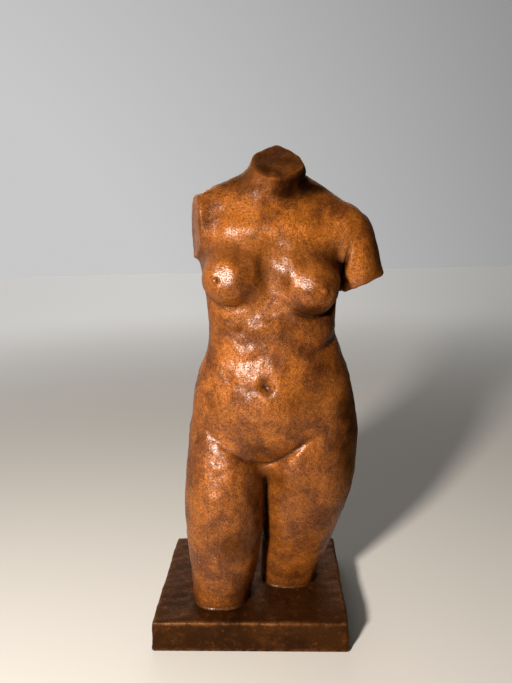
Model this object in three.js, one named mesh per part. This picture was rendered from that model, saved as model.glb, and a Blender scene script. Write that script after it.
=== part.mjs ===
import * as THREE from "three";

// Torso of a standing woman, a bronze cast on a low rectangular plinth.
// Millimetres: x to the viewer's right, y away from the viewer, z up.
// The origin is the middle of the plinth's underside.

const PLINTH_WIDTH = 250;
const PLINTH_DEPTH = 200;
const PLINTH_HEIGHT = 40;
const PLINTH_CORNER = 6;
const PLINTH_DRAFT = 1.5;
const PLINTH_EDGE = 2.5;
const JOINT_GAP = 0.3;
const FACET = 9.9;

// Sections of the trunk and the thighs: height, left side, right side, front, back.
const TRUNK = [
  [190, -60, 120, -20, 58], // crotch
  [240, -78, 142, -49, 72], // widest part of the hips
  [290, -72, 140, -57, 60], // lower belly
  [340, -62, 129, -58, 45], // navel
  [365, -51, 120.5, -55, 45],
  [390, -46, 114.5, -54, 48], // waist
  [415, -47, 114, -52.5, 54], // lowest ribs
  [465, -54, 121.5, -45, 64], // breasts
  [515, -58, 132, -42, 63], // armpits
  [540, -45, 121, -29, 59], // collarbones
  [560, -28, 104, -14, 53],
  [592, 22, 58, 12, 42], // root of the neck
];
const LEFT_THIGH = [
  [30, -75, -5, -73, 15],
  [60, -79.5, 3.5, -73, 22],
  [120, -84.5, 16.5, -72, 35],
  [180, -85.5, 19.5, -70.5, 48],
  [240, -80, 25, -56, 57],
  [285, -66, 34, -40, 40],
];
const RIGHT_THIGH = [
  [30, 13, 84, -27, 60],
  [60, 12, 95.5, -30, 61],
  [120, 14.5, 119, -40, 68],
  [180, 15, 138, -47, 76],
  [240, 13, 144, -46, 76],
  [285, 12, 138, -34, 62],
];
const NECK = [
  [530, 10, 66, -24, 40],
  [560, 12, 73, -27, 39],
  [585, 15, 78, -30, 39],
  [640, 17, 80, -32, 38],
];
const NECK_TURN = 0.2;
const NECK_FOOT = 532;
const TRUNK_TOP = 592;
const TRUNK_FOOT = 192;
const THIGH_TOP = 285;

// Rounded masses: centre and three radii.
const BREASTS = [
  { at: [-11, -35, 458], size: [35, 35, 33], tip: { at: [-19, -41, 460], size: [26, 26, 25] } },
  { at: [80, -35, 447], size: [35, 31, 34], tip: { at: [91, -38, 445], size: [26, 26, 25] } },
];
const BUTTOCKS = [
  { at: [-20, 33, 240], size: [50, 44, 54] },
  { at: [84, 38, 244], size: [52, 45, 56] },
];
const SHOULDER_BLADES = [
  { at: [-14, 44, 506], size: [30, 24, 42] },
  { at: [86, 44, 504], size: [30, 24, 42] },
];
const BELLY = { at: [32, -20, 299], size: [62, 46.5, 66] };
const RIB_EDGE = { at: [30, -39.5, 402], size: [28, 16, 13] };
const RIGHT_INNER_THIGH = { at: [66, -27, 222], size: [34, 25, 40] };
const NAVEL = { at: [27.5, 331], size: [8, 9], slant: 0.5, depth: 5 };

// Tapered limbs: two ends and the radius at each.
const LEFT_SHOULDER = { from: [35, 15, 569], to: [-74, 8, 518], radii: [26, 34] };
const RIGHT_SHOULDER = { from: [62, 34, 559], to: [114, 10, 513], radii: [27, 33] };
const ARM = { from: [127, 6, 506], to: [153, 4, 425], radii: [34.5, 29] };

// Planes where the cast ends: a point on each plane and its outward direction.
const ARM_CUT = { point: [148, 0, 448], normal: [0.375, 0, -0.927] };
const ARM_INNER_SIDE = { point: [121, 0, 0], normal: [-1, -0.35, 0] };
const ARMPIT_TOP = 478;
const SHOULDER_CUT = { point: [-57, 0, 0], normal: [-0.958, -0.287, 0] };
const NECK_CUT = { point: [47, 0, 594], normal: [0.09, -0.571, 0.816] };
const NECK_BREAKS = [
  { point: [43.8, 36, 621.5], normal: [-0.5, 0.1, 0.86] },
  { point: [43.8, 36, 621.5], normal: [0.6, 0.1, 0.79] },
  { point: [76, 0, 590], normal: [0.85, -0.1, 0.5] },
  { point: [44, 38, 624], normal: [0, 0.77, 0.64] },
];
const SHOULDER_CUT_FOOT = 488;

// Creases in the front or back view: x, height and depth of each point.
const GROIN = [
  [-66, 284, 0],
  [-39, 260, 1.5],
  [-11, 239, 2.4],
  [18, 223, 4.5],
  [29, 224, 5],
  [54, 240, 5],
  [77, 259, 3.2],
  [112, 275, 0],
];
const FLANK_FOLD = [
  [122, 392, 5],
  [104, 378, 3.5],
  [76, 364, 1.2],
  [55, 352, 0],
];
const MIDLINE = [
  [36, 440, 0],
  [27, 418, 1.2],
  [19, 398, 1.4],
  [16, 374, 1],
  [20, 350, 0],
];
const ARMPIT = [
  [134, 498, 0],
  [124, 475, 3],
  [119, 450, 5],
  [119, 434, 5],
];
const RIB_ARCH = [
  [-18, 376, 0],
  [-4, 403, 1.2],
  [23, 415, 0.6],
  [56, 410, 1],
  [74, 398, 0],
];
const SPINE = [
  [46, 585, 0],
  [38, 500, 4],
  [31, 380, 5],
  [30, 330, 4],
  [30, 275, 0],
];

function ease(t) {
  const c = Math.min(Math.max(t, 0), 1);
  return c * c * (3 - 2 * c);
}

function join(a, b, softness) {
  const h = Math.max(softness - Math.abs(a - b), 0) / softness;
  return Math.min(a, b) - (h * h * softness) / 4;
}

function trim(a, b, softness) {
  return -join(-a, -b, softness);
}

// Smooth curve through one column of a section table.
function sectionValue(rows, column, height) {
  const last = rows.length - 1;
  const z = Math.min(Math.max(height, rows[0][0]), rows[last][0]);
  let i = 0;
  while (i < last - 1 && z >= rows[i + 1][0]) i++;
  const slope = (k) => {
    const a = rows[Math.max(k - 1, 0)];
    const b = rows[Math.min(k + 1, last)];
    return (b[column] - a[column]) / (b[0] - a[0]);
  };
  const span = rows[i + 1][0] - rows[i][0];
  const t = (z - rows[i][0]) / span;
  const start = (2 * t ** 3 - 3 * t ** 2 + 1) * rows[i][column] + (t ** 3 - 2 * t ** 2 + t) * span * slope(i);
  const end = (3 * t ** 2 - 2 * t ** 3) * rows[i + 1][column] + (t ** 3 - t ** 2) * span * slope(i + 1);
  return start + end;
}

// Distance to a stack of rounded sections that follow a section table.
function stack(x, y, z, rows, power) {
  const [left, right, front, back] = [1, 2, 3, 4].map((column) => sectionValue(rows, column, z));
  const u = x - (left + right) / 2;
  const v = y - (front + back) / 2;
  const p = Math.abs((2 * u) / (right - left));
  const q = Math.abs((2 * v) / (back - front));
  const f = Math.max((p ** power + q ** power) ** (1 / power), 1e-4);
  return Math.hypot(u, v) * (1 - 1 / f) * 0.92;
}

function ball(x, y, z, { at, size }) {
  const u = (x - at[0]) / size[0];
  const v = (y - at[1]) / size[1];
  const w = (z - at[2]) / size[2];
  const inner = Math.hypot(u, v, w);
  return (inner * (inner - 1)) / Math.max(Math.hypot(u / size[0], v / size[1], w / size[2]), 1e-6);
}

function limb(x, y, z, { from, to, radii }) {
  const d = [to[0] - from[0], to[1] - from[1], to[2] - from[2]];
  const along = (x - from[0]) * d[0] + (y - from[1]) * d[1] + (z - from[2]) * d[2];
  const t = Math.min(Math.max(along / (d[0] ** 2 + d[1] ** 2 + d[2] ** 2), 0), 1);
  const reach = Math.hypot(x - from[0] - t * d[0], y - from[1] - t * d[1], z - from[2] - t * d[2]);
  return reach - (radii[0] + (radii[1] - radii[0]) * t);
}

function beyond(x, y, z, { point, normal }) {
  return (x - point[0]) * normal[0] + (y - point[1]) * normal[1] + (z - point[2]) * normal[2];
}

// Depth of a soft crease at a place in the front view.
function crease(x, z, line, width) {
  let nearest = Infinity;
  let depth = 0;
  for (let i = 0; i < line.length - 1; i++) {
    const [ax, az, ah] = line[i];
    const [bx, bz, bh] = line[i + 1];
    const dx = bx - ax;
    const dz = bz - az;
    const t = Math.min(Math.max(((x - ax) * dx + (z - az) * dz) / (dx * dx + dz * dz), 0), 1);
    const square = (x - ax - t * dx) ** 2 + (z - az - t * dz) ** 2;
    if (square < nearest) {
      nearest = square;
      depth = ah + (bh - ah) * t;
    }
  }
  return depth * Math.exp(-nearest / width ** 2);
}

function navelDepth(x, z) {
  const u = x - NAVEL.at[0];
  const v = z - NAVEL.at[1];
  const across = (u + v * NAVEL.slant) / NAVEL.size[0];
  const up = (v - u * NAVEL.slant) / NAVEL.size[1];
  return NAVEL.depth * Math.exp(-across * across - up * up);
}

// Distance to the torso's surface, negative inside the bronze.
function torso(x, y, z) {
  const front = ease((10 - y) / 30);
  const back = ease((y - 10) / 30);
  let d = stack(x, y, z, TRUNK, 2.3);
  d = trim(d, z - TRUNK_TOP, 10);
  d = trim(d, TRUNK_FOOT - z, 20);
  d = join(d, limb(x, y, z, LEFT_SHOULDER), 16);
  d = join(d, limb(x, y, z, RIGHT_SHOULDER), 16);
  let neck = trim(stack(x - NECK_TURN * Math.min(y, 0), y, z, NECK, 1.9), NECK_FOOT - z, 10);
  neck = NECK_BREAKS.reduce((n, plane) => Math.max(n, beyond(x, y, z, plane)), neck);
  d = join(d, neck, 7 + 17 * ease((40 - x) / 26));
  for (const breast of BREASTS) {
    const mass = join(ball(x, y, z, breast), ball(x, y, z, breast.tip), 12);
    d = join(d, mass, 7 + 19 * ease((z - breast.at[2] + 6) / 36));
  }
  let arm = Math.max(limb(x, y, z, ARM), beyond(x, y, z, ARM_CUT));
  arm = Math.max(arm, beyond(x, Math.max(y, 0), z, ARM_INNER_SIDE) - 40 * ease((z - ARMPIT_TOP) / 20));
  d = join(d, arm, 5 + 9 * ease((z - ARMPIT_TOP) / 28));
  d = join(d, ball(x, y, z, RIB_EDGE), 12);
  const seat = join(ball(x, y, z, BUTTOCKS[0]), ball(x, y, z, BUTTOCKS[1]), 4);
  d = join(d, seat, 18);
  d = join(d, ball(x, y, z, BELLY), 16);
  for (const blade of SHOULDER_BLADES) {
    d = join(d, ball(x, y, z, blade), 12);
  }
  const power = 2.2 + 0.5 * ease((100 - z) / 60);
  const left = trim(stack(x, y, z, LEFT_THIGH, power), z - THIGH_TOP, 20);
  let right = trim(stack(x, y, z, RIGHT_THIGH, power), z - THIGH_TOP, 20);
  right = join(right, ball(x, y, z, RIGHT_INNER_THIGH), 10);
  d = join(d, join(left, right, 6), 9);
  d += front * (0.75 * crease(x, z, GROIN, 8) + crease(x, z, FLANK_FOLD, 8) + crease(x, z, ARMPIT, 6));
  d += front * (crease(x, z, RIB_ARCH, 8) + crease(x, z, MIDLINE, 16));
  d += front * navelDepth(x, z) + back * crease(x, z, SPINE, 12);
  const below = SHOULDER_CUT_FOOT - z;
  const runOut = 0.3 * (below + Math.hypot(below, 9.5));
  d = Math.max(d, beyond(x, y, z, SHOULDER_CUT) - runOut, beyond(x, y, z, NECK_CUT));
  return Math.max(d, PLINTH_HEIGHT + JOINT_GAP - z);
}

function gradient(field, [x, y, z]) {
  const e = 0.2;
  return [
    (field(x + e, y, z) - field(x - e, y, z)) / (2 * e),
    (field(x, y + e, z) - field(x, y - e, z)) / (2 * e),
    (field(x, y, z + e) - field(x, y, z - e)) / (2 * e),
  ];
}

// Where the surface passes between two neighbouring grid points.
function crossing(field, a, b, da, db) {
  let [p, q, dp, dq] = [a, b, da, db];
  let m = p;
  for (let step = 0; step < 4; step++) {
    const t = dp / (dp - dq);
    m = p.map((v, i) => v + (q[i] - v) * t);
    const dm = field(...m);
    if (dm < 0 === dp < 0) [p, dp] = [m, dm];
    else [q, dq] = [m, dm];
  }
  return m;
}

// The point of one cell that fits the surface planes through its crossings best.
function cornerPoint(points, normals, low, size) {
  const mean = [0, 1, 2].map((i) => points.reduce((sum, p) => sum + p[i], 0) / points.length);
  const pull = 0.12;
  const a = [pull, 0, 0, 0, pull, 0, 0, 0, pull];
  const b = [0, 0, 0];
  points.forEach((p, k) => {
    const n = normals[k];
    const away = n[0] * (p[0] - mean[0]) + n[1] * (p[1] - mean[1]) + n[2] * (p[2] - mean[2]);
    for (let i = 0; i < 3; i++) {
      b[i] += n[i] * away;
      for (let j = 0; j < 3; j++) a[3 * i + j] += n[i] * n[j];
    }
  });
  const move = new THREE.Vector3(...b).applyMatrix3(new THREE.Matrix3().set(...a).invert());
  return [move.x, move.y, move.z].map((m, i) => {
    const margin = size * 0.02;
    return Math.min(Math.max(mean[i] + m, low[i] + margin), low[i] + size - margin);
  });
}

// Corners of a cell that lie inside, in groups that touch along the cell's edges.
function insideGroups(d) {
  const groups = [];
  const seen = new Set();
  for (let c = 0; c < 8; c++) {
    if (d[c] >= 0 || seen.has(c)) continue;
    const group = [c];
    seen.add(c);
    for (const member of group) {
      for (const bit of [1, 2, 4]) {
        const other = member ^ bit;
        if (d[other] >= 0 || seen.has(other)) continue;
        seen.add(other);
        group.push(other);
      }
    }
    groups.push(group);
  }
  return groups;
}

// Closed faceted skin of a field, with a corner for each piece of surface in a grid cell.
function skin(field, low, high, size) {
  const count = low.map((v, i) => Math.ceil((high[i] - v) / size) + 1);
  const index = (i, j, k) => i + count[0] * (j + count[1] * k);
  const place = (i, j, k) => [low[0] + i * size, low[1] + j * size, low[2] + k * size];
  const value = new Float64Array(count[0] * count[1] * count[2]);
  for (let k = 0; k < count[2]; k++) {
    for (let j = 0; j < count[1]; j++) {
      for (let i = 0; i < count[0]; i++) value[index(i, j, k)] = field(...place(i, j, k));
    }
  }
  const corners = [0, 1, 2, 3, 4, 5, 6, 7].map((c) => [c & 1, (c >> 1) & 1, c >> 2]);
  const axes = [[1, 0, 0], [0, 1, 0], [0, 0, 1]];
  const vertexOf = new Map();
  const vertices = [];
  for (let k = 0; k < count[2] - 1; k++) {
    for (let j = 0; j < count[1] - 1; j++) {
      for (let i = 0; i < count[0] - 1; i++) {
        const at = corners.map(([a, b, c]) => place(i + a, j + b, k + c));
        const d = corners.map(([a, b, c]) => value[index(i + a, j + b, k + c)]);
        for (const group of insideGroups(d)) {
          const points = [];
          for (const c of group) {
            for (const bit of [1, 2, 4]) {
              if (d[c ^ bit] >= 0) points.push(crossing(field, at[c], at[c ^ bit], d[c], d[c ^ bit]));
            }
          }
          if (points.length === 0) continue;
          const normals = points.map((p) => new THREE.Vector3(...gradient(field, p)).normalize().toArray());
          for (const c of group) vertexOf.set(8 * index(i, j, k) + c, vertices.length);
          vertices.push(cornerPoint(points, normals, place(i, j, k), size));
        }
      }
    }
  }
  const faces = [];
  const quad = (a, b, c, d) => {
    const gap = (p, q) => Math.hypot(...vertices[p].map((v, i) => v - vertices[q][i]));
    if (gap(a, c) <= gap(b, d)) faces.push(a, b, c, a, c, d);
    else faces.push(a, b, d, b, c, d);
  };
  for (let k = 1; k < count[2] - 1; k++) {
    for (let j = 1; j < count[1] - 1; j++) {
      for (let i = 1; i < count[0] - 1; i++) {
        const here = value[index(i, j, k)] < 0;
        for (const [di, dj, dk] of axes) {
          if (here === value[index(i + di, j + dj, k + dk)] < 0) continue;
          const inner = here ? [0, 0, 0] : [di, dj, dk];
          const ring = [[0, 0], [1, 0], [1, 1], [0, 1]].map(([p, q]) => {
            const back = [dj * p + dk * q, dk * p + di * q, di * p + dj * q];
            const corner = back[0] + inner[0] + 2 * (back[1] + inner[1]) + 4 * (back[2] + inner[2]);
            return vertexOf.get(8 * index(i - back[0], j - back[1], k - back[2]) + corner);
          });
          quad(...(here ? ring.reverse() : ring));
        }
      }
    }
  }
  const geometry = new THREE.BufferGeometry();
  geometry.setAttribute("position", new THREE.Float32BufferAttribute(vertices.flat(), 3));
  geometry.setIndex(faces);
  return geometry;
}

// Rounded slab that widens a little towards its underside.
function slab() {
  const arc = 4;
  const ring = (inset, z) => {
    const radius = Math.max(PLINTH_CORNER - inset, 1);
    const halfWidth = PLINTH_WIDTH / 2 - inset - radius;
    const halfDepth = PLINTH_DEPTH / 2 - inset - radius;
    const points = [];
    for (let corner = 0; corner < 4; corner++) {
      const cx = corner === 0 || corner === 3 ? halfWidth : -halfWidth;
      const cy = corner < 2 ? halfDepth : -halfDepth;
      for (let step = 0; step <= arc; step++) {
        const angle = ((corner + step / arc) * Math.PI) / 2;
        points.push([cx + radius * Math.cos(angle), cy + radius * Math.sin(angle), z]);
      }
    }
    return points;
  };
  const top = PLINTH_HEIGHT;
  const levels = [
    ring(1.2, 0),
    ring(0, 1.5),
    ring(PLINTH_DRAFT, top - PLINTH_EDGE),
    ring(PLINTH_DRAFT + PLINTH_EDGE * 0.3, top - PLINTH_EDGE * 0.3),
    ring(PLINTH_DRAFT + PLINTH_EDGE, top),
  ];
  const round = levels[0].length;
  const vertices = [[0, 0, 0], ...levels.flat(), [0, 0, top]];
  const faces = [];
  for (let i = 0; i < round; i++) {
    const next = (i + 1) % round;
    faces.push(0, 1 + next, 1 + i);
    for (let level = 0; level < levels.length - 1; level++) {
      const a = 1 + level * round;
      faces.push(a + i, a + next, a + round + next, a + i, a + round + next, a + round + i);
    }
    const last = 1 + (levels.length - 1) * round;
    faces.push(vertices.length - 1, last + i, last + next);
  }
  const geometry = new THREE.BufferGeometry();
  geometry.setAttribute("position", new THREE.Float32BufferAttribute(vertices.flat(), 3));
  geometry.setIndex(faces);
  return geometry;
}

function piece(name, geometry, color, roughness) {
  const flat = geometry.toNonIndexed();
  flat.computeVertexNormals();
  const material = new THREE.MeshStandardMaterial({ color, metalness: 0.6, roughness });
  const mesh = new THREE.Mesh(flat, material);
  mesh.name = name;
  return mesh;
}

const sculpture = new THREE.Group();
sculpture.name = "bronze_torso_on_plinth";
sculpture.add(piece("torso", skin(torso, [-112, -101, 25.6], [192, 101, 640], FACET), 0x96562a, 0.45));
sculpture.add(piece("plinth", slab(), 0x3a2418, 0.5));

export default sculpture;
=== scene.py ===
import math

import bpy
import numpy as np
from mathutils import Matrix, Vector


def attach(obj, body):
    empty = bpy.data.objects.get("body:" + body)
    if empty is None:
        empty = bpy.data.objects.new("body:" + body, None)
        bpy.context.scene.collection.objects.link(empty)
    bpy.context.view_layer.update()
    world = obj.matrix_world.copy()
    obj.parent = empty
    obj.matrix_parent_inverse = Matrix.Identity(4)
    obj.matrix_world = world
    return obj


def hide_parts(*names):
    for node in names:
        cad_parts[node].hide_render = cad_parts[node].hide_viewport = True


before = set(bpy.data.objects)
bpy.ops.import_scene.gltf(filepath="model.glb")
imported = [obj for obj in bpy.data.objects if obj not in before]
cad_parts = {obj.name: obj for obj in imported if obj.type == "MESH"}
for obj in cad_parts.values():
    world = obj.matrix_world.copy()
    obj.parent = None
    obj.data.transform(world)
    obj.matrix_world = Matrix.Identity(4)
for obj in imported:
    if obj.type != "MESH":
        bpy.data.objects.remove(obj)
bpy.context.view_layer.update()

# The photograph's camera: pixels, millimetres, degrees and metres.
FOCAL_LENGTH, PHOTO_HEIGHT = 555, 683
SENSOR = 36
PITCH, YAW, ROLL = 11.61, -2.36, -1.40
CAMERA_PLACE = (0.0415, -0.6984, 0.5185)

camera_data = bpy.data.cameras.new("camera")
camera_data.sensor_width = SENSOR
camera_data.lens = FOCAL_LENGTH / PHOTO_HEIGHT * SENSOR
camera = bpy.data.objects.new("camera", camera_data)
pitch, yaw, roll = (math.radians(a) for a in (PITCH, YAW, ROLL))
forward = Vector((
    math.sin(yaw) * math.cos(pitch), math.cos(yaw) * math.cos(pitch), -math.sin(pitch),
))
level = Vector((math.cos(yaw), -math.sin(yaw), 0))
upright = level.cross(forward)
right = level * math.cos(roll) + upright * math.sin(roll)
up = upright * math.cos(roll) - level * math.sin(roll)
turn = Matrix((right, up, -forward)).transposed().to_4x4()
camera.matrix_world = Matrix.Translation(CAMERA_PLACE) @ turn
bpy.context.collection.objects.link(camera)
bpy.context.scene.camera = camera

# Forms, in millimetres. x runs to the viewer's right, y away from the viewer, z up.
# Rows of sections: height, left side, right side, front, back.
TRUNK = [
    (190, -60, 120, -20, 58), (240, -78, 142, -49, 72), (290, -72, 140, -57, 60),
    (340, -62, 129, -58, 45), (365, -51, 120.5, -55, 45), (390, -46, 114.5, -54, 48),
    (415, -47, 114, -52.5, 54), (465, -54, 121.5, -45, 64), (515, -58, 132, -42, 63),
    (540, -45, 121, -29, 59), (560, -28, 104, -14, 53), (592, 22, 58, 12, 42),
]
LEFT_THIGH = [
    (30, -75, -5, -73, 15), (60, -79.5, 3.5, -73, 22), (120, -84.5, 16.5, -72, 35),
    (180, -85.5, 19.5, -70.5, 48), (240, -80, 25, -56, 57), (285, -66, 34, -40, 40),
]
RIGHT_THIGH = [
    (30, 13, 84, -27, 60), (60, 12, 95.5, -30, 61), (120, 14.5, 119, -40, 68),
    (180, 15, 138, -47, 76), (240, 13, 144, -46, 76), (285, 12, 138, -34, 62),
]
NECK = [
    (530, 10, 66, -24, 40), (560, 12, 73, -27, 39), (585, 15, 78, -30, 39), (640, 17, 80, -32, 38),
]
TRUNK_TOP, TRUNK_FOOT = 592, 192
# Front and back forms fade out round the sides, over this depth from the middle.
MIDDLE, SIDE_FADE = 10, 30
NECK_FOOT = 532
NECK_TURN = 0.2
THIGH_TOP = 285
PLINTH_TOP = 40.0
# How deep the torso's mesh reaches into the plinth.
FOOT_OVERLAP = 2.2

# Masses: centre, half sizes.
RIB_EDGE = ((30, -39.5, 402), (28, 16, 13))
BELLY = ((32, -20, 299), (62, 46.5, 66))
RIGHT_INNER_THIGH = ((66, -27, 222), (34, 25, 40))
BUTTOCKS = [((-20, 33, 240), (50, 44, 54)), ((84, 38, 244), (52, 45, 56))]
SHOULDER_BLADES = [((-14, 44, 506), (30, 24, 42)), ((86, 44, 504), (30, 24, 42))]
BREASTS = [
    dict(at=(-11, -35, 458), size=(35, 35, 33), tip=(-19, -41, 460),
         nipple=(-29.5, -67.6, 460), inner=1, flat=184.2),
    dict(at=(80, -35, 447), size=(35, 31, 34), tip=(91, -38, 445),
         nipple=(96, -65.5, 445), inner=-1, flat=161.6),
]
TIP_SIZE = (26, 26, 25)
NIPPLE_SIZE = (3, 3.2, 2.9)
# Each breast has a small flat that faces this way.
FLAT_NORMAL = (-0.19, -0.95, 0.25)
NAVEL_X, NAVEL_HEIGHT, NAVEL_DEPTH = 27.5, 331, 7.5
NAVEL_WIDTHS = (7.5, 9)
NAVEL_SLANT = 0.5
NAVEL_KNOB = ((32, -56, 334), (5, 4.5, 4.5))

# Rods: start, end, radii.
LEFT_SHOULDER = ((35, 15, 569), (-74, 8, 518), (26, 34))
RIGHT_SHOULDER = ((62, 34, 559), (114, 10, 513), (27, 33))
ARM = ((127, 6, 506), (153, 4, 425), (34.5, 29))
ARM_INNER_X, ARM_INNER_SLANT = 120.5, 0.35

# Cuts: a point of the plane, its outward normal.
ARM_CUT = ((148, 0, 448), (0.375, 0, -0.927))
SHOULDER_CUT = ((-57, 0, 0), (-0.958, -0.287, 0))
SHOULDER_CUT_FOOT = 488
NECK_CUT = ((47, 0, 594), (0.09, -0.571, 0.816))
# Facets of the neck's broken rim, with the roundness of each edge.
NECK_BREAKS = [
    ((43.8, 36, 621.5), (-0.5, 0.1, 0.86), 2),
    ((43.8, 36, 621.5), (0.6, 0.1, 0.79), 2),
    ((76, 0, 590), (0.85, -0.1, 0.5), 3),
    ((44, 38, 624), (0, 0.77, 0.64), 2),
]

# Creases: x, height, depth.
GROIN = [
    (-66, 284, 0), (-50, 270, 1), (-39, 260, 1.5), (-26, 250, 1.8), (-11, 239, 2.4),
    (4, 229, 3.5), (18, 223, 4.5), (29, 224, 5), (41, 230, 5), (54, 240, 5),
    (66, 250, 4.5), (77, 259, 3.2), (90, 266, 1.5), (112, 275, 0),
]
FLANK_FOLD = [
    (122, 392, 7), (113, 386, 7), (104, 378, 4.5), (92, 371, 2.2), (76, 364, 1.2), (55, 352, 0),
]
LEFT_UNDER = [
    (-45, 449, 0), (-41, 441, 1), (-36, 434, 1.8), (-27, 428, 2), (-12, 424, 1.6),
    (2, 426, 0.6), (12, 431, 0),
]
RIGHT_UNDER = [
    (51, 433, 0), (60, 422, 1.5), (68, 417, 3), (82, 412, 4.5), (94, 412, 5),
    (103, 416.5, 5), (108, 425, 4.5), (113, 435, 4), (117, 445, 5), (121, 453, 8),
]
MIDLINE = [(36, 440, 0), (27, 418, 1.2), (19, 398, 1.4), (16, 374, 1), (20, 350, 0)]
ARMPIT = [
    (130, 498, 0), (127.5, 489, 2.5), (124, 475, 5), (120.5, 460, 7), (118.8, 448, 8),
    (118.8, 434, 8),
]
RIB_ARCH = [(-18, 376, 0), (-4, 403, 1.2), (23, 415, 0.6), (56, 410, 1), (74, 398, 0)]
SPINE = [(46, 585, 0), (38, 500, 4), (31, 380, 5), (30, 330, 4), (30, 275, 0)]
# The creases darkened with painted shade, each with the depth at which it is darkest.
DARK_CREASES = ((GROIN, 5), (RIGHT_UNDER, 5), (LEFT_UNDER, 3), (ARMPIT, 8), (FLANK_FOLD, 7))

# Soft dark patches, x, height, half width, half height, strength. Some are stains of the patina;
# the rest are painted shade: the right flank darker as though turned from the light, highlights
# dimmed on the arm, the left shoulder and the throat, and the painted shadow of the neck on the
# right shoulder.
PATINA_STAINS_AND_SHADE = [
    (-3, 399, 11, 9, 0.6), (54, 456, 5, 13, 0.6), (86, 424, 24, 9, 0.5), (21, 470, 8, 17, 0.5),
    (4, 484, 16, 7, 0.4), (58, 312, 26, 18, 0.45), (88, 360, 20, 24, 0.5),
    (-41, 302, 7, 10, 0.5), (20, 250, 20, 9, 0.35), (-22, 128, 20, 24, 0.45),
    (8, 180, 12, 60, 0.5), (46, 204, 18, 18, 0.35), (137, 262, 26, 116, 0.95),
    (166, 490, 14, 44, 0.6), (108, 476, 18, 16, 0.5), (-10, 60, 40, 30, 0.35),
    (60, 60, 30, 26, 0.3), (-46, 410, 10, 40, 0.2), (79, 563, 9, 14, 1.0),
    (8, 404, 34, 16, 0.42), (112, 420, 12, 40, 0.6), (92, 446, 22, 22, 0.42),
    (56, 390, 26, 22, 0.3), (120, 510, 12, 15, 0.35), (-44, 528, 11, 22, 0.7),
    (70, 372, 20, 12, 0.35), (100, 330, 14, 30, 0.3), (24, 573, 10, 14, 0.9),
    (50, 455, 7, 16, 0.45), (84, 120, 40, 70, 0.22), (-12, 458, 24, 24, 0.2),
]

PLINTH_HALF_WIDTH, PLINTH_HALF_DEPTH = 124.7, 99.7
PLINTH_DRAFT = 1.5
PLINTH_CORNER = 5
PLINTH_TOP_EDGE, PLINTH_FOOT_EDGE = 5, 2

# Meshes: opposite corners of the region that is meshed, and the size of its cells.
TORSO_REGION = ((-94, -82, 34.9), (186, 92, 624))
TORSO_CELL = 2.2
PLINTH_REGION = ((-129, -104, -3.3), (131, 106, 46))
PLINTH_CELL = 2.6


def ease(t):
    t = np.clip(t, 0, 1)
    return t * t * (3 - 2 * t)


def join(a, b, softness):
    """Both of two forms, with the corner between them filled softly."""
    h = np.maximum(softness - np.abs(a - b), 0) / softness
    return np.minimum(a, b) - h * h * softness / 4


def trim(a, b, softness):
    """What two forms share, with the edge between them rounded."""
    return -join(-a, -b, softness)


def section_value(rows, column, height):
    """Smooth curve through one column of a section table."""
    zs = np.array([row[0] for row in rows], np.float32)
    vs = np.array([row[column] for row in rows], np.float32)
    slope = np.empty_like(vs)
    slope[1:-1] = (vs[2:] - vs[:-2]) / (zs[2:] - zs[:-2])
    slope[0] = (vs[1] - vs[0]) / (zs[1] - zs[0])
    slope[-1] = (vs[-1] - vs[-2]) / (zs[-1] - zs[-2])
    z = np.clip(height, zs[0], zs[-1])
    i = np.clip(np.searchsorted(zs, z, side="right") - 1, 0, len(zs) - 2)
    span = zs[i + 1] - zs[i]
    t = (z - zs[i]) / span
    return (
        (2 * t**3 - 3 * t**2 + 1) * vs[i] + (t**3 - 2 * t**2 + t) * span * slope[i]
        + (3 * t**2 - 2 * t**3) * vs[i + 1] + (t**3 - t**2) * span * slope[i + 1]
    )


def stack(x, y, z, rows, power):
    """Distance to a stack of rounded sections. A higher power makes them squarer."""
    left, right_side, front, back = (section_value(rows, column, z) for column in (1, 2, 3, 4))
    u = x - (left + right_side) / 2
    v = y - (front + back) / 2
    p = np.abs(2 * u / (right_side - left))
    q = np.abs(2 * v / (back - front))
    f = np.maximum((p**power + q**power) ** (1 / power), 1e-4)
    return np.sqrt(u * u + v * v) * (1 - 1 / f) * 0.92


def ball(x, y, z, at, size):
    """Distance to an ellipsoid."""
    u, v, w = (x - at[0]) / size[0], (y - at[1]) / size[1], (z - at[2]) / size[2]
    inner = np.sqrt(u * u + v * v + w * w)
    outer = np.sqrt((u / size[0]) ** 2 + (v / size[1]) ** 2 + (w / size[2]) ** 2)
    return inner * (inner - 1) / np.maximum(outer, 1e-6)


def limb(x, y, z, start, end, radii):
    """Distance to a tapered rod with round ends."""
    dx, dy, dz = (e - s for s, e in zip(start, end))
    along = (x - start[0]) * dx + (y - start[1]) * dy + (z - start[2]) * dz
    t = np.clip(along / (dx * dx + dy * dy + dz * dz), 0, 1)
    reach = np.sqrt(
        (x - start[0] - t * dx) ** 2 + (y - start[1] - t * dy) ** 2 + (z - start[2] - t * dz) ** 2
    )
    return reach - (radii[0] + (radii[1] - radii[0]) * t)


def beyond(x, y, z, point, normal):
    """How far outside a plane a place is."""
    return (x - point[0]) * normal[0] + (y - point[1]) * normal[1] + (z - point[2]) * normal[2]


def crease(x, z, line, width):
    """Depth of a soft crease along a line of (x, height, depth) points in the front view."""
    nearest = depth = None
    for (ax, az, ah), (bx, bz, bh) in zip(line[:-1], line[1:]):
        dx, dz = bx - ax, bz - az
        t = np.clip(((x - ax) * dx + (z - az) * dz) / (dx * dx + dz * dz), 0, 1)
        square = (x - ax - t * dx) ** 2 + (z - az - t * dz) ** 2
        here = ah + (bh - ah) * t
        if nearest is None:
            nearest, depth = square, here
        else:
            depth = np.where(square < nearest, here, depth)
            nearest = np.minimum(nearest, square)
    return depth * np.exp(-nearest / width**2)


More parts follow.
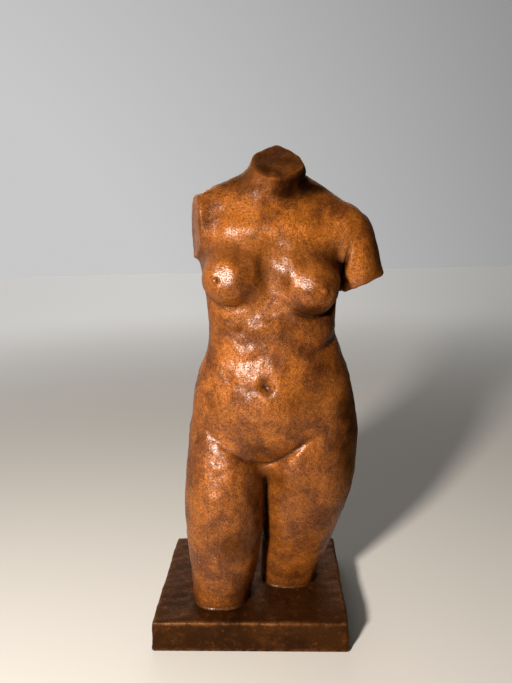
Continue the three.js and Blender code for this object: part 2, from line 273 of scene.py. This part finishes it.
def neck_field(x, y, z):
    turned_x = x - NECK_TURN * np.minimum(y, 0)
    neck = trim(stack(turned_x, y, z, NECK, power=1.9), NECK_FOOT - z, 10)
    for point, normal, roundness in NECK_BREAKS:
        neck = trim(neck, beyond(x, y, z, point, normal), roundness)
    return neck


def breast_field(x, y, z, breast):
    form = join(ball(x, y, z, breast["at"], breast["size"]),
                ball(x, y, z, breast["tip"], TIP_SIZE), 12)
    facing = FLAT_NORMAL[0] * x + FLAT_NORMAL[1] * y + FLAT_NORMAL[2] * z
    form = trim(form, facing - breast["flat"], 3)
    return join(form, ball(x, y, z, breast["nipple"], NIPPLE_SIZE), 2.5)


def arm_field(x, y, z):
    arm = trim(limb(x, y, z, *ARM), beyond(x, y, z, *ARM_CUT), 3)
    inner_side = ARM_INNER_X - x - ARM_INNER_SLANT * np.maximum(y, 0)
    return trim(arm, inner_side - 40 * ease((z - 470) / 28), 4)


def thighs_field(x, y, z):
    # The thighs are squarer near the plinth.
    power = 2.2 + 0.5 * ease((100 - z) / 60)
    left = trim(stack(x, y, z, LEFT_THIGH, power), z - THIGH_TOP, 20)
    right_thigh = trim(stack(x, y, z, RIGHT_THIGH, power), z - THIGH_TOP, 20)
    right_thigh = join(right_thigh, ball(x, y, z, *RIGHT_INNER_THIGH), 10)
    return join(left, right_thigh, 3)


def navel_shape(x, z):
    """Strength of the navel's slanting hollow, 1 at its centre."""
    across = (x - NAVEL_X) + (z - NAVEL_HEIGHT) * NAVEL_SLANT
    along = (z - NAVEL_HEIGHT) - (x - NAVEL_X) * NAVEL_SLANT
    return np.exp(-((across / NAVEL_WIDTHS[0]) ** 2) - (along / NAVEL_WIDTHS[1]) ** 2)


def torso_field(x, y, z):
    """Distance to the torso's surface, negative inside."""
    front = ease((MIDDLE - y) / SIDE_FADE)
    back = ease((y - MIDDLE) / SIDE_FADE)
    d = stack(x, y, z, TRUNK, power=2.3)
    d = trim(d, z - TRUNK_TOP, 10)
    d = trim(d, TRUNK_FOOT - z, 20)
    d = join(d, limb(x, y, z, *LEFT_SHOULDER), 16)
    d = join(d, limb(x, y, z, *RIGHT_SHOULDER), 16)
    d = join(d, neck_field(x, y, z), 6 + 18 * ease((40 - x) / 26))
    for breast in BREASTS:
        centre_x, _, height = breast["at"]
        upper = 22 * ease((z - height + 6) / 36)
        cleavage = 12 * ease((breast["inner"] * (x - centre_x) - 4) / 20)
        d = join(d, breast_field(x, y, z, breast), 4 + upper + cleavage)
    d = join(d, arm_field(x, y, z), 2 + 12 * ease((z - 484) / 25))
    # The lower edge of the rib cage stands out a little below the breastbone.
    d = join(d, ball(x, y, z, *RIB_EDGE), 12)
    seat = join(ball(x, y, z, *BUTTOCKS[0]), ball(x, y, z, *BUTTOCKS[1]), 4)
    d = join(d, seat, 18)
    d = join(d, ball(x, y, z, *BELLY), 16)
    for blade in SHOULDER_BLADES:
        d = join(d, ball(x, y, z, *blade), 12)
    d = join(d, thighs_field(x, y, z), 7)
    d = d + front * (0.4 * crease(x, z, GROIN, 9) + 0.75 * crease(x, z, GROIN, 3.8))
    d = d + front * (crease(x, z, FLANK_FOLD, 5) + crease(x, z, ARMPIT, 2.6))
    d = d + front * (crease(x, z, LEFT_UNDER, 3.6) + crease(x, z, RIGHT_UNDER, 3.4))
    d = d + front * (crease(x, z, RIB_ARCH, 8) + crease(x, z, MIDLINE, 16))
    d = d + NAVEL_DEPTH * front * navel_shape(x, z)
    d = join(d, ball(x, y, z, *NAVEL_KNOB), 3)
    d = d + back * crease(x, z, SPINE, 12)
    # Below its foot the shoulder's cut runs outward, so that the flank stays whole.
    below = SHOULDER_CUT_FOOT - z
    outward = 0.3 * (below + np.sqrt(below * below + 90))
    d = trim(d, beyond(x, y, z, *SHOULDER_CUT) - outward, 2.5)
    d = trim(d, beyond(x, y, z, *NECK_CUT), 2)
    # A small fillet of bronze where the thighs meet the plinth.
    skirt = np.maximum(join(d, z - PLINTH_TOP, 3), d - 1.6)
    return np.maximum(skirt, PLINTH_TOP - FOOT_OVERLAP - z)


def plinth_field(x, y, z):
    """Distance to the plinth's surface, a slab with rounded corners that narrows upward."""
    wide = PLINTH_HALF_WIDTH - PLINTH_DRAFT * z / PLINTH_TOP
    deep = PLINTH_HALF_DEPTH - PLINTH_DRAFT * z / PLINTH_TOP
    u = np.maximum(np.abs(x) - wide + PLINTH_CORNER, 0)
    v = np.maximum(np.abs(y) - deep + PLINTH_CORNER, 0)
    inner = np.minimum(np.maximum(np.abs(x) - wide, np.abs(y) - deep) + PLINTH_CORNER, 0)
    side = np.sqrt(u * u + v * v) - PLINTH_CORNER + inner
    d = trim(side, z - PLINTH_TOP, PLINTH_TOP_EDGE)
    return trim(d, -z, PLINTH_FOOT_EDGE)


def skin(field, low, high, size):
    """Closed quad mesh of a field, with a vertex in each grid cell that the surface crosses."""
    axes = [np.arange(a, b + size, size, dtype=np.float32) for a, b in zip(low, high)]
    grid = np.meshgrid(*axes, indexing="ij", sparse=True)
    d = np.broadcast_to(field(*grid), [len(a) for a in axes])
    inside = d < 0
    cells = [n - 1 for n in d.shape]
    total = np.zeros(cells + [3], np.float32)
    number = np.zeros(cells, np.int32)
    for axis in range(3):
        a = [slice(None)] * 3
        b = [slice(None)] * 3
        a[axis], b[axis] = slice(0, -1), slice(1, None)
        change = inside[tuple(a)] != inside[tuple(b)]
        where = np.argwhere(change)
        da, db = d[tuple(a)][change], d[tuple(b)][change]
        point = np.stack([axes[k][where[:, k]] for k in range(3)], 1)
        point[:, axis] += size * da / (da - db)
        others = [k for k in range(3) if k != axis]
        for s in (0, 1):
            for t in (0, 1):
                cell = where.copy()
                cell[:, others[0]] -= s
                cell[:, others[1]] -= t
                ok = np.all((cell >= 0) & (cell < cells), axis=1)
                index = tuple(cell[ok].T)
                np.add.at(total, index, point[ok])
                np.add.at(number, index, 1)
    used = number > 0
    vertex = np.full(cells, -1, np.int64)
    vertex[used] = np.arange(used.sum())
    points = total[used] / number[used][:, None]
    quads = []
    for axis in range(3):
        a = [slice(None)] * 3
        b = [slice(None)] * 3
        a[axis], b[axis] = slice(0, -1), slice(1, None)
        start, end = inside[tuple(a)], inside[tuple(b)]
        s, t = (axis + 1) % 3, (axis + 2) % 3
        for change, order in ((start & ~end, (0, 1, 2, 3)), (~start & end, (3, 2, 1, 0))):
            where = np.argwhere(change)
            ring = []
            for ds, dt in ((1, 1), (0, 1), (0, 0), (1, 0)):
                cell = where.copy()
                cell[:, s] -= ds
                cell[:, t] -= dt
                ring.append(vertex[tuple(cell.T)])
            quads.append(np.stack([ring[k] for k in order], 1))
    return points.astype(np.float64), np.concatenate(quads)


def slope_of(field, p, e=0.5):
    """Gradient of a field at points, from two places e to either side of each."""
    parts = []
    for k in range(3):
        step = np.zeros(3)
        step[k] = e
        parts.append((field(*(p + step).T) - field(*(p - step).T)) / (2 * e))
    return np.stack(parts, 1)


def settle(field, points, rounds=2):
    """Moves points on to the surface of a field."""
    for _ in range(rounds):
        slope = slope_of(field, points)
        square = np.maximum((slope**2).sum(1), 0.05)
        move = -(field(*points.T) / square)[:, None] * slope
        points = points + np.clip(move, -1.5, 1.5)
    return points


def surface(field, region, cell):
    """Points on a field's surface, their unit normals and the quads between them."""
    points, quads = skin(field, *region, cell)
    points = settle(field, points)
    normal = slope_of(field, points)
    normal /= np.linalg.norm(normal, axis=1)[:, None]
    return points, normal, quads


def ripple(p, scale, seed, waves=28):
    """Smooth random unevenness of about unit strength, with lumps about scale wide."""
    rng = np.random.default_rng(seed)
    total = np.zeros(len(p))
    for _ in range(waves):
        direction = rng.normal(size=3)
        direction /= np.linalg.norm(direction)
        wave = 2 * math.pi / (scale * rng.uniform(1.2, 2.8))
        total += np.sin(p @ direction * wave + rng.uniform(0, 2 * math.pi))
    return total * math.sqrt(2 / waves)


def mesh_object(name, points, quads):
    """Smooth object from points in millimetres."""
    mesh = bpy.data.meshes.new(name)
    mesh.vertices.add(len(points))
    mesh.vertices.foreach_set("co", (points / 1000).astype(np.float32).ravel())
    mesh.loops.add(quads.size)
    mesh.loops.foreach_set("vertex_index", quads.astype(np.int32).ravel())
    mesh.polygons.add(len(quads))
    mesh.polygons.foreach_set("loop_start", np.arange(0, quads.size, 4, dtype=np.int32))
    mesh.polygons.foreach_set("use_smooth", np.ones(len(quads), bool))
    mesh.update(calc_edges=True)
    mesh.validate()
    piece = bpy.data.objects.new(name, mesh)
    bpy.context.collection.objects.link(piece)
    return piece


def paint(piece, name, values):
    """Stores a value at each vertex, for the material to read."""
    layer = piece.data.attributes.new(name, "FLOAT", "POINT")
    layer.data.foreach_set("value", np.asarray(values, np.float32))


# Torso. The layers say how deep in a recess each place is, painted there as shade, how far out on
# an edge, and how dark the patina and the painted shade make it.
PROBE = 5
points, normal, quads = surface(torso_field, TORSO_REGION, TORSO_CELL)
near = torso_field(*(points + normal * PROBE).T) - PROBE
far = torso_field(*(points - normal * PROBE).T) + PROBE
# Painted shade, darkest in the deepest recesses and along the creases.
hollow = np.clip(-near / 3, 0, 1)
px, py, pz = points.T
for line, deepest in DARK_CREASES:
    depth = np.clip(crease(px, pz, line, 2.6) / deepest, 0, 1)
    hollow = np.maximum(hollow, (py < 8) * depth)
# The painted shade is left off the nipples, so they stay light.
for nx, _, nz in (breast["nipple"] for breast in BREASTS):
    hollow = hollow * (1 - (py < -50) * np.exp(-((px - nx) ** 2 + (pz - nz) ** 2) / 60))
# Painted shade round the thighs' feet, where they meet the plinth.
hollow = np.maximum(hollow, 0.8 * ease((45 - pz) / 4))
neck_rim = (pz > 568) * (py < 12)
ridge = np.clip(far / 3, 0, 1) * (1 + 1.4 * neck_rim) * ease((pz - 44) / 3)
uneven = 0.36 * ripple(points, 26, 1) + 0.22 * ripple(points, 10, 2) + 0.08 * ripple(points, 5, 4)
points = points + normal * (uneven * ease((pz - 44) / 8))[:, None]
torso = mesh_object("torso_cast", points, quads)
# Painted shadow: the shadow of the neck on the right shoulder, painted black into the shade layer.
painted_neck_shadow = ease((pz - px - 477) / 5) * ease((px - 66) / 9) * ease((30 - py) / 10)
hollow = np.maximum(hollow, painted_neck_shadow * (normal[:, 2] < 0.75))
paint(torso, "hollow", hollow)
paint(torso, "ridge", ridge)
# Dark patina, darkest on the neck's wall and less so on its cut face. The dark patches add patina
# stains and painted shade.
patina_and_shade = ease((pz - 536 - 0.25 * np.abs(px - 50)) / 22) * (0.5 + 0.5 * ease((px - 14) / 34))
patina_and_shade = np.where((normal[:, 2] > 0.6) & (pz > 568), 0.5, patina_and_shade)
to_front = ease((0.35 - normal[:, 1]) / 0.6)
# Dark patches of patina stains and painted shade, on faces turned to the front.
for sx, sz, wide, high, strength in PATINA_STAINS_AND_SHADE:
    dark_spot = np.exp(-(((px - sx) / wide) ** 2) - ((pz - sz) / high) ** 2)
    patina_and_shade = np.maximum(patina_and_shade, strength * to_front * dark_spot)
paint(torso, "patina_and_shade", np.clip(patina_and_shade * (1 + 0.15 * ripple(points, 12, 3)), 0, 1))

# Plinth. It is uneven too, about 0.6 mm inside its form on average.
BASE_PROBE = 4
points, normal, quads = surface(plinth_field, PLINTH_REGION, PLINTH_CELL)
far = plinth_field(*(points - normal * BASE_PROBE).T) + BASE_PROBE
uneven = 0.3 * ripple(points, 30, 5) + 0.15 * ripple(points, 8, 6) - 0.6
points = points + normal * (uneven * ease((points[:, 2] - 2) / 6))[:, None]
plinth = mesh_object("plinth_cast", points, quads)
paint(plinth, "ridge", np.clip(far / 2 - 0.25, 0, 0.8))


class Nodes:
    """Short way to write a material's node tree."""

    def __init__(self, name):
        self.material = bpy.data.materials.new(name)
        self.material.use_nodes = True
        self.tree = self.material.node_tree
        self.shader = self.tree.nodes["Principled BSDF"]
        self.place = self.add("ShaderNodeTexCoord").outputs["Object"]

    def add(self, kind, **settings):
        node = self.tree.nodes.new(kind)
        for key, value in settings.items():
            setattr(node, key, value)
        return node

    def link(self, value, socket):
        if hasattr(value, "is_output"):
            self.tree.links.new(value, socket)
        else:
            socket.default_value = value

    def set(self, **values):
        """Values or links of the shader's own sockets, with _ for a space."""
        for key, value in values.items():
            self.link(value, self.shader.inputs[key.replace("_", " ")])

    def noise(self, scale, detail=3.0, roughness=0.6, distortion=0.0, where=None):
        node = self.add("ShaderNodeTexNoise")
        self.link(self.place if where is None else where, node.inputs["Vector"])
        node.inputs["Scale"].default_value = scale
        node.inputs["Detail"].default_value = detail
        node.inputs["Roughness"].default_value = roughness
        node.inputs["Distortion"].default_value = distortion
        return node.outputs["Fac"]

    def math(self, operation, a, b):
        node = self.add("ShaderNodeMath", operation=operation)
        self.link(a, node.inputs[0])
        self.link(b, node.inputs[1])
        return node.outputs[0]

    def vector(self, operation, a, output):
        node = self.add("ShaderNodeVectorMath", operation=operation)
        self.link(a, node.inputs[0])
        return node.outputs[output]

    def span(self, value, low, high, to_low=0.0, to_high=1.0):
        """A value that goes smoothly from to_low to to_high as another goes from low to high."""
        node = self.add("ShaderNodeMapRange", interpolation_type="SMOOTHSTEP")
        self.link(value, node.inputs["Value"])
        node.inputs["From Min"].default_value = low
        node.inputs["From Max"].default_value = high
        node.inputs["To Min"].default_value = to_low
        node.inputs["To Max"].default_value = to_high
        return node.outputs["Result"]

    def mix(self, amount, a, b):
        node = self.add("ShaderNodeMix", data_type="RGBA")
        self.link(amount, node.inputs["Factor"])
        self.link(a, node.inputs[6])
        self.link(b, node.inputs[7])
        return node.outputs[2]

    def layer(self, name):
        return self.add("ShaderNodeAttribute", attribute_name=name).outputs["Fac"]

    def stretched(self, scale, turn):
        node = self.add("ShaderNodeMapping")
        self.link(self.place, node.inputs["Vector"])
        node.inputs["Scale"].default_value = scale
        node.inputs["Rotation"].default_value = turn
        return node.outputs["Vector"]

    def bump(self, height, strength, distance, under=None):
        node = self.add("ShaderNodeBump")
        node.inputs["Strength"].default_value = strength
        node.inputs["Distance"].default_value = distance
        self.link(height, node.inputs["Height"])
        if under is not None:
            self.link(under, node.inputs["Normal"])
        return node.outputs["Normal"]


def colour(red, green, blue):
    """A colour given as it looks on a screen, 0 to 255."""
    values = []
    for v in (red, green, blue):
        s = v / 255
        values.append(s / 12.92 if s <= 0.04045 else ((s + 0.055) / 1.055) ** 2.4)
    return (*values, 1.0)


def bronze():
    """Warm brown patina, flecked and waxed, darker where the layers paint dark patina and shade.
    """
    brown, amber, rubbed_gold = colour(98, 49, 11), colour(150, 84, 21), colour(176, 106, 44)
    umber, dark_umber, near_black = colour(62, 29, 8), colour(48, 22, 6), colour(42, 18, 5)
    painted_shade_black, worn_edge = colour(20, 9, 4), colour(150, 88, 40)
    n = Nodes("bronze_warm_patina")
    broad = n.noise(11, detail=3, roughness=0.55, distortion=0.4)
    patch = n.noise(42, detail=4, roughness=0.62, distortion=0.5)
    fleck = n.noise(360, detail=4, roughness=0.75, distortion=0.2)
    grain = n.noise(640, detail=3, roughness=0.75)
    slanted = n.stretched((240, 240, 900), (0.5, 0.2, 0.7))
    strokes = n.noise(1, detail=3, roughness=0.6, distortion=0.3, where=slanted)
    rubbed = n.noise(230, detail=4, roughness=0.75, distortion=0.2)
    patina_and_shade = n.layer("patina_and_shade")
    cloud = n.math("ADD", n.math("MULTIPLY", broad, 0.45), n.math("MULTIPLY", patch, 0.55))
    warm = n.mix(n.span(cloud, 0.40, 0.58), brown, amber)
    thinned = n.span(rubbed, 0.36, 0.56, 0.75, 0.25)
    warm = n.mix(n.math("MULTIPLY", n.span(fleck, 0.42, 0.60), thinned), warm, umber)
    warm = n.mix(n.math("MULTIPLY", n.span(grain, 0.44, 0.60), 0.42), warm, dark_umber)
    warm = n.mix(n.math("MULTIPLY", n.span(rubbed, 0.54, 0.68), 0.35), warm, rubbed_gold)
    # Dark patina and painted shade.
    warm = n.mix(n.math("MULTIPLY", patina_and_shade, 0.94), warm, near_black)
    # Painted shade in recesses and creases, and the painted shadow beside the neck.
    warm = n.mix(n.math("MULTIPLY", n.layer("hollow"), 0.8), warm, painted_shade_black)
    warm = n.mix(n.math("MULTIPLY", n.layer("ridge"), 0.25), warm, worn_edge)
    # The wax shines on the rubbed grain and is dull on the dark patina and the painted shade.
    clear_of_patina_and_shade = n.span(patina_and_shade, 0, 0.7, 0.75, 0.03)
    waxed = n.math("MULTIPLY", clear_of_patina_and_shade, n.span(grain, 0.45, 0.55, 1.0, 0.1))
    low = n.bump(patch, strength=0.4, distance=0.002)
    cut = n.bump(strokes, strength=0.3, distance=0.0006, under=low)
    pitted = n.math("ADD", n.math("MULTIPLY", fleck, 0.6), grain)
    n.set(
        Base_Color=warm,
        Metallic=n.span(patina_and_shade, 0, 1, 0.5, 0.9),
        Specular_IOR_Level=0.2,
        Specular_Tint=colour(255, 224, 190),
        Roughness=n.span(n.math("ADD", fleck, grain), 0.8, 1.25, 0.52, 0.72),
        Coat_Weight=waxed,
        Coat_Roughness=0.3,
        Normal=n.bump(pitted, strength=0.9, distance=0.0008, under=cut),
        Coat_Normal=n.bump(grain, strength=0.25, distance=0.0005, under=cut),
    )
    return n.material


def dark_bronze():
    """Nearly black patina, worn to brown on the edges."""
    dark, lighter, patch_brown = colour(38, 17, 3), colour(54, 28, 6), colour(76, 42, 13)
    spot_brown, pit, worn_edge = colour(98, 54, 16), colour(26, 12, 4), colour(112, 72, 42)
    n = Nodes("bronze_dark_patina")
    broad = n.noise(14, detail=4, roughness=0.6, distortion=0.5)
    patch = n.noise(55, detail=4, roughness=0.65, distortion=0.4)
    grain = n.noise(420, detail=3, roughness=0.7)
    spots = n.noise(120, detail=3, roughness=0.6, distortion=0.3)
    body = n.mix(n.span(broad, 0.38, 0.62), dark, lighter)
    body = n.mix(n.math("MULTIPLY", n.span(patch, 0.50, 0.68), 0.6), body, patch_brown)
    body = n.mix(n.math("MULTIPLY", n.span(spots, 0.58, 0.72), 0.6), body, spot_brown)
    body = n.mix(n.math("MULTIPLY", n.span(grain, 0.46, 0.62), 0.45), body, pit)
    worn = n.math("MULTIPLY", n.layer("ridge"), n.span(spots, 0.38, 0.56))
    low = n.bump(patch, strength=0.2, distance=0.0015)
    n.set(
        Base_Color=n.mix(worn, body, worn_edge),
        Metallic=0.6,
        Specular_IOR_Level=0.2,
        Specular_Tint=colour(255, 205, 150),
        Roughness=n.span(grain, 0.4, 0.6, 0.5, 0.65),
        Coat_Weight=0.04,
        Coat_Roughness=0.35,
        Normal=n.bump(grain, strength=0.35, distance=0.0005, under=low),
    )
    return n.material


torso.data.materials.append(bronze())
plinth.data.materials.append(dark_bronze())
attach(torso, "root")
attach(plinth, "root")
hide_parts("torso")
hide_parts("plinth")


def wall_glow(tree, place):
    """The room's light: bright at the back on the left, dark at the front and right."""
    toward = tree.nodes.new("ShaderNodeVectorMath")
    toward.operation = "DOT_PRODUCT"
    toward.inputs[1].default_value = (-0.7, 0.65, -0.3)
    tree.links.new(place, toward.inputs[0])
    shade = tree.nodes.new("ShaderNodeMapRange")
    tree.links.new(toward.outputs["Value"], shade.inputs["Value"])
    for key, number in (("From Min", -0.3), ("From Max", 0.8), ("To Min", 0.02), ("To Max", 0.58)):
        shade.inputs[key].default_value = number
    return shade.outputs["Result"]


world = bpy.data.worlds.new("studio")
world.use_nodes = True
sky = world.node_tree.nodes["Background"]
direction = world.node_tree.nodes.new("ShaderNodeTexCoord").outputs["Generated"]
world.node_tree.links.new(wall_glow(world.node_tree, direction), sky.inputs["Color"])
bpy.context.scene.world = world
bpy.context.scene.view_settings.view_transform = "Standard"

# Flat pale floor. Far from the object it glows as the room does, so that no dark edge shows.
FLOOR_REACH = 6
corners = [(-FLOOR_REACH, -FLOOR_REACH, 0), (FLOOR_REACH, -FLOOR_REACH, 0),
           (FLOOR_REACH, FLOOR_REACH, 0), (-FLOOR_REACH, FLOOR_REACH, 0)]
floor_mesh = bpy.data.meshes.new("floor")
floor_mesh.from_pydata(corners, [], [(0, 1, 2, 3)])
floor = bpy.data.objects.new("floor", floor_mesh)
bpy.context.collection.objects.link(floor)
pale = Nodes("floor_pale")
far_off = pale.span(pale.vector("LENGTH", pale.place, "Value"), 0.5, 3.0, 0.0, 0.68)
room = wall_glow(pale.tree, pale.vector("NORMALIZE", pale.place, "Vector"))
pale.set(
    Base_Color=(0.50, 0.485, 0.46, 1),
    Roughness=0.8,
    Emission_Color=(1, 1, 1, 1),
    Emission_Strength=pale.math("MULTIPLY", far_off, room),
)
floor_mesh.materials.append(pale.material)


def lamp(name, place, target, size, power, kind="AREA"):
    """A lamp. Its size is in metres for an area lamp and in radians for a sun."""
    data = bpy.data.lights.new(name, kind)
    if kind == "SUN":
        data.angle = size
    else:
        data.shape = "DISK"
        data.size = size
    data.energy = power
    data.color = (1.0, 0.92, 0.83)
    light = bpy.data.objects.new(name, data)
    light.location = place
    aim = Vector(target) - Vector(place)
    light.rotation_euler = aim.to_track_quat("-Z", "Y").to_euler()
    bpy.context.collection.objects.link(light)


lamp("key", (-0.66, -1.28, 0.86), (0.02, 0, 0.42), size=0.2, power=66)
lamp("back", (-0.2, 1.7, 0.9), (0.02, 0, 0.3), size=0.7, power=0.9, kind="SUN")
